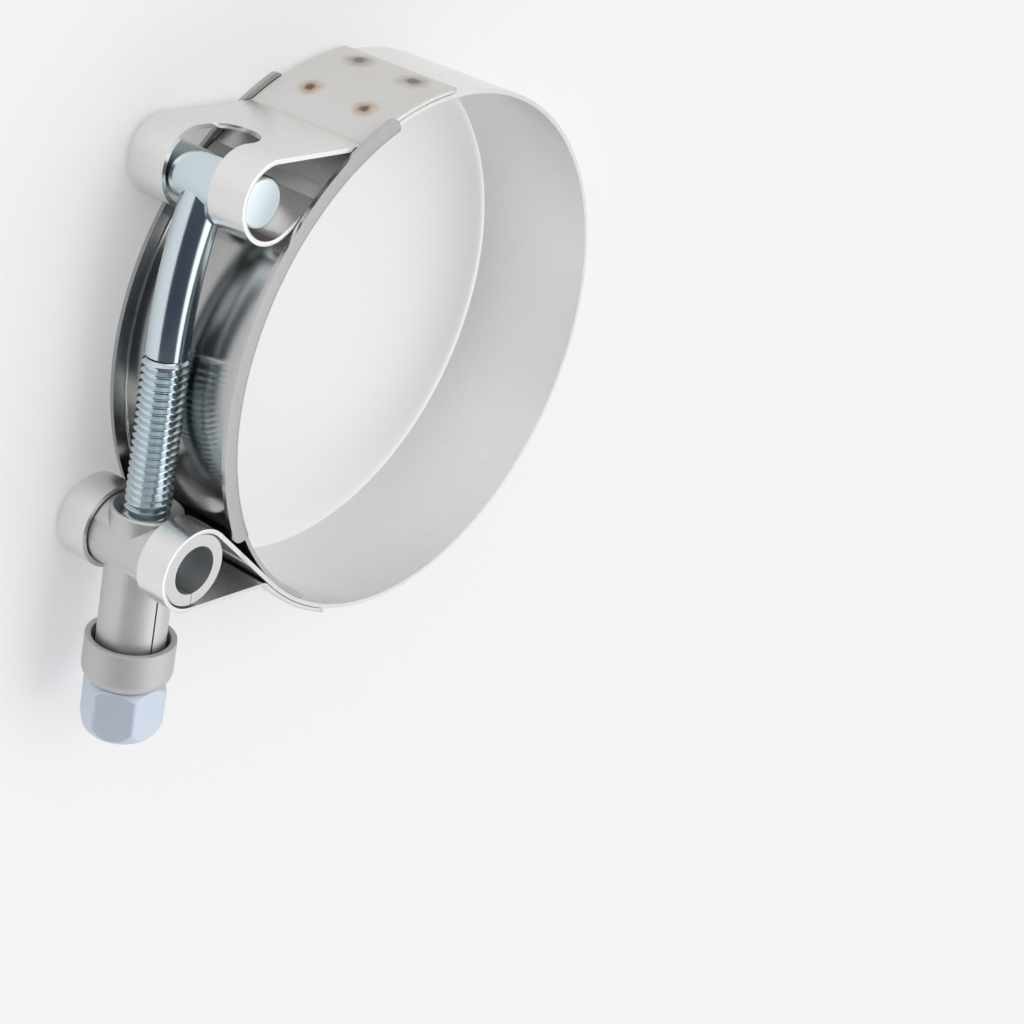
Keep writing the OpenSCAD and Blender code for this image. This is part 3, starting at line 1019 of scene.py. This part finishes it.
BROWN = (0.28, 0.20, 0.15)
TAN = (0.66, 0.56, 0.46)
DARK_TAN = (0.34, 0.28, 0.22)
GREY_DOT = (0.34, 0.31, 0.30)
GREY_HALO = (0.60, 0.57, 0.55)
band_steel = metal("band_satin_steel", (0.84, 0.835, 0.825), 0.27, 0.012, brushed=0.8, attribute=REST_PLACE)
add_welds(
    band_steel,
    [
        (head_inner_row, BROWN, TAN, 2.2),
        (head_outer_row, GREY_DOT, GREY_HALO, 2.8),
        (tube_row, BROWN, TAN, 2.2),
    ],
    REST_PLACE,
)
dull_at(band_steel, STRAP_OUT_R, 0.65, REST_PLACE)
# the bridge is the band's steel given a darker colour: painted shade for the dark reflections on its outer
# face
bridge_metal_painted_dark = metal("painted_shade_bridge_metal", (0.52, 0.515, 0.51), 0.16, 0.03, brushed=0.6)
add_welds(bridge_metal_painted_dark, [(bridge_row, BROWN, DARK_TAN, 2.2)])
bolt_zinc = metal("bolt_blue_zinc", (0.66, 0.75, 0.79), 0.18, 0.02, 300.0, 1.0)
trunnion_steel = metal("trunnion_polished_steel", (0.66, 0.66, 0.66), 0.5, 0.04, 300.0, 1.0)
sleeve_steel = metal("sleeve_flat_steel", (0.62, 0.62, 0.622), 0.6, 0.05, 400.0, 1.0)
nut_zinc = metal("nut_blue_zinc", (0.68, 0.74, 0.83), 0.62, 0.04, 300.0, 1.0)
print("six metals made")

# %% [markdown]
# The insert is a dark moulded plastic ring. Its colour hardly shows, so a faint mottle in its
# roughness is all it needs.

# %% Insert plastic and assignment
insert_plastic = bpy.data.materials.new("insert_dark_nylon")
insert_plastic.use_nodes = True
nylon = insert_plastic.node_tree
nylon_shader = nylon.nodes["Principled BSDF"]
nylon_shader.inputs["Base Color"].default_value = (0.02, 0.025, 0.04, 1)
mottle = nylon.nodes.new("ShaderNodeTexNoise")
mottle.inputs["Scale"].default_value = 1500
mottle_spread = nylon.nodes.new("ShaderNodeMapRange")
mottle_spread.inputs["To Min"].default_value = 0.35
mottle_spread.inputs["To Max"].default_value = 0.6
nylon.links.new(where(insert_plastic, None), mottle.inputs["Vector"])
nylon.links.new(mottle.outputs["Fac"], mottle_spread.inputs["Value"])
nylon.links.new(mottle_spread.outputs["Result"], nylon_shader.inputs["Roughness"])


def dress(piece, material, body, node):
    piece.data.materials.clear()
    piece.data.materials.append(material)
    if body:
        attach(piece, body)
    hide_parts(node)


dress(bridge, bridge_metal_painted_dark, "bridge", "bridge")
dress(bolt, bolt_zinc, "t_bolt", "t_bolt")
dress(trunnion, trunnion_steel, "trunnion", "trunnion")
dress(sleeve, sleeve_steel, "trunnion", "sleeve")
dress(nut, nut_zinc, "nut", "lock_nut")
dress(insert, insert_plastic, "nut", "nut_insert")
dress(band, band_steel, None, "band")
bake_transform(band)

# %% [markdown]
# ## Floor
# A plain pale floor carries the clamp. Part of its white is a glow that the camera, reflections and
# clear things all see, so that the metal shows the same white as the eye. The rest is lit, and so
# it keeps the clamp's shadow.

# %% Floor
FLOOR_Z = -10.2 * MM
WHITE_SHARE = 0.3
select_only(None)
bpy.ops.mesh.primitive_plane_add(size=40, location=(0, 0, FLOOR_Z))
floor = new_piece("floor")
floor_paint = bpy.data.materials.new("floor_white")
floor_paint.use_nodes = True
f_nodes, f_links = floor_paint.node_tree.nodes, floor_paint.node_tree.links
floor_shader = f_nodes["Principled BSDF"]
floor_shader.inputs["Base Color"].default_value = (0.95, 0.95, 0.95, 1)
floor_shader.inputs["Roughness"].default_value = 0.9
floor_shader.inputs["Specular IOR Level"].default_value = 0.2
f_ray = f_nodes.new("ShaderNodeLightPath")
seen = f_ray.outputs["Is Camera Ray"]
for kind in ("Is Glossy Ray", "Is Transmission Ray"):
    either = f_nodes.new("ShaderNodeMath")
    either.operation = "MAXIMUM"
    f_links.new(seen, either.inputs[0])
    f_links.new(f_ray.outputs[kind], either.inputs[1])
    seen = either.outputs[0]
f_share = f_nodes.new("ShaderNodeMath")
f_share.operation = "MULTIPLY"
f_share.inputs[1].default_value = WHITE_SHARE
f_links.new(seen, f_share.inputs[0])
f_white = f_nodes.new("ShaderNodeEmission")
f_mix = f_nodes.new("ShaderNodeMixShader")
f_links.new(f_share.outputs[0], f_mix.inputs["Fac"])
f_links.new(floor_shader.outputs["BSDF"], f_mix.inputs[1])
f_links.new(f_white.outputs["Emission"], f_mix.inputs[2])
f_links.new(f_mix.outputs["Shader"], f_nodes["Material Output"].inputs["Surface"])
floor.data.materials.append(floor_paint)
print("floor at", round(FLOOR_Z / MM, 1), "mm")

# %% [markdown]
# ## Studio
# Metal shows little but what stands round it, so the studio matters more than any lamp. It is laid
# out as a photographer would: pale walls all round, a softbox beside the camera, a dark gap where
# the photographer works, a warmer wall at the far left and a pale ceiling. A dark boom reaches over
# the front of the bench, along the bolt, and draws the dark stripe down the bolt's shank. Each area
# is a mask on the direction that is looked in, with soft edges.

# %% Studio
PALE_WALL = (0.8, 0.8, 0.8)
CEILING = (1.5, 1.5, 1.5)
BOOM = (0.05, 0.06, 0.085)
SOFT_EDGE = 5
# where a wall differs from the pale ones: from and to in compass degrees, and its colour
SOFTBOX = (-140, -115, (1.4, 1.4, 1.45))
DARK_GAP = (-105, -85, (0.2, 0.2, 0.2))
WARM_WALL = (130, 170, (0.55, 0.5, 0.45))
world = bpy.data.worlds.new("studio")
bpy.context.scene.world = world
world.use_nodes = True
w_nodes, w_links = world.node_tree.nodes, world.node_tree.links
w_place = w_nodes.new("ShaderNodeTexCoord")
w_split = w_nodes.new("ShaderNodeSeparateXYZ")
w_links.new(w_place.outputs["Generated"], w_split.inputs[0])
w_compass = w_nodes.new("ShaderNodeMath")
w_compass.operation = "ARCTAN2"
w_links.new(w_split.outputs["Y"], w_compass.inputs[0])
w_links.new(w_split.outputs["X"], w_compass.inputs[1])


def mask_of(value, none, full):
    """A mask that fades from 0 to 1 as a value goes from one number to another."""
    fade = w_nodes.new("ShaderNodeMapRange")
    fade.interpolation_type = "SMOOTHSTEP"
    fade.inputs["From Min"].default_value = none
    fade.inputs["From Max"].default_value = full
    w_links.new(value, fade.inputs["Value"])
    return fade.outputs["Result"]


def overlap(first, *others):
    """The mask of what lies within every one of some masks."""
    for other in others:
        both = w_nodes.new("ShaderNodeMath")
        both.operation = "MULTIPLY"
        w_links.new(first, both.inputs[0])
        w_links.new(other, both.inputs[1])
        first = both.outputs[0]
    return first


def wall_between(start, end):
    """The mask of the wall between two compass directions in degrees."""
    compass = w_compass.outputs[0]
    after = mask_of(compass, math.radians(start - SOFT_EDGE), math.radians(start))
    before = mask_of(compass, math.radians(end + SOFT_EDGE), math.radians(end))
    return overlap(after, before)


def lay_over(under, mask, color):
    mix = w_nodes.new("ShaderNodeMix")
    mix.data_type = "RGBA"
    mix.inputs["B"].default_value = (*color, 1)
    w_links.new(mask, mix.inputs["Factor"])
    w_links.new(under, mix.inputs["A"])
    return mix.outputs["Result"]


dir_x, dir_y, dir_z = [w_split.outputs[axis] for axis in "XYZ"]
w_plain = w_nodes.new("ShaderNodeRGB")
w_plain.outputs[0].default_value = (*PALE_WALL, 1)
studio = w_plain.outputs[0]
for start, end, color in (SOFTBOX, DARK_GAP, WARM_WALL):
    studio = lay_over(studio, wall_between(start, end), color)
studio = lay_over(studio, mask_of(dir_z, 0.5, 0.8), CEILING)
boom = overlap(mask_of(dir_x, -0.3, -0.2), mask_of(dir_x, 0.56, 0.48), mask_of(dir_y, 0.05, -0.1))
studio = lay_over(studio, boom, BOOM)
w_links.new(studio, w_nodes["Background"].inputs["Color"])
bpy.context.scene.view_settings.view_transform = "Standard"
print("studio has", len(w_nodes), "nodes")
